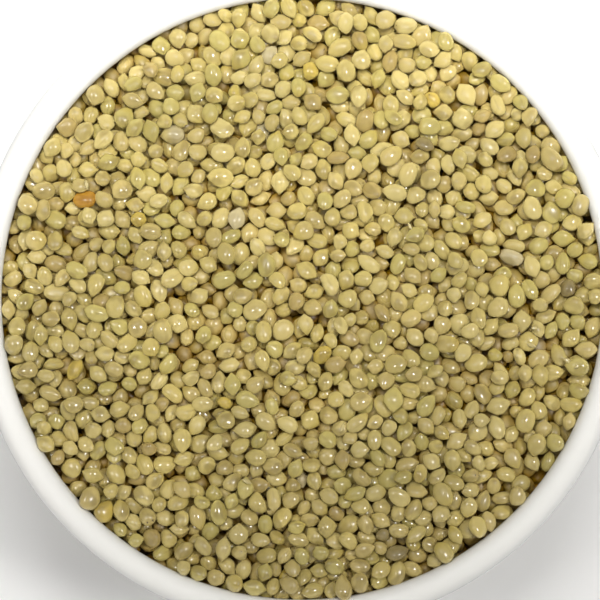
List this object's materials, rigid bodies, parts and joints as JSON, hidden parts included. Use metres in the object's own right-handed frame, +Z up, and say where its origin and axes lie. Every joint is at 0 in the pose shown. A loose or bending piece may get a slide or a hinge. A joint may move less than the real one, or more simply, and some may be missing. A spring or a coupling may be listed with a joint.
{
  "type": "bowl of millet",
  "caption": "Small round white china bowl with a rolled rim and a foot ring, filled to the rim with a low heap of whole millet grains.",
  "frame": {"origin": "on the surface that the bowl stands on, under the middle of the bowl", "axes": "+Z up along the bowl's axis; +X and +Y level, and the bowl is the same all round"},
  "size_m": [0.0906, 0.0906, 0.0433],
  "materials": {
    "china": "white glaze",
    "millet": "satin hulls of whole grains"
  },
  "bodies": {
    "root": {"bowl": "china", "millet": "millet"}
  },
  "joints": []
}
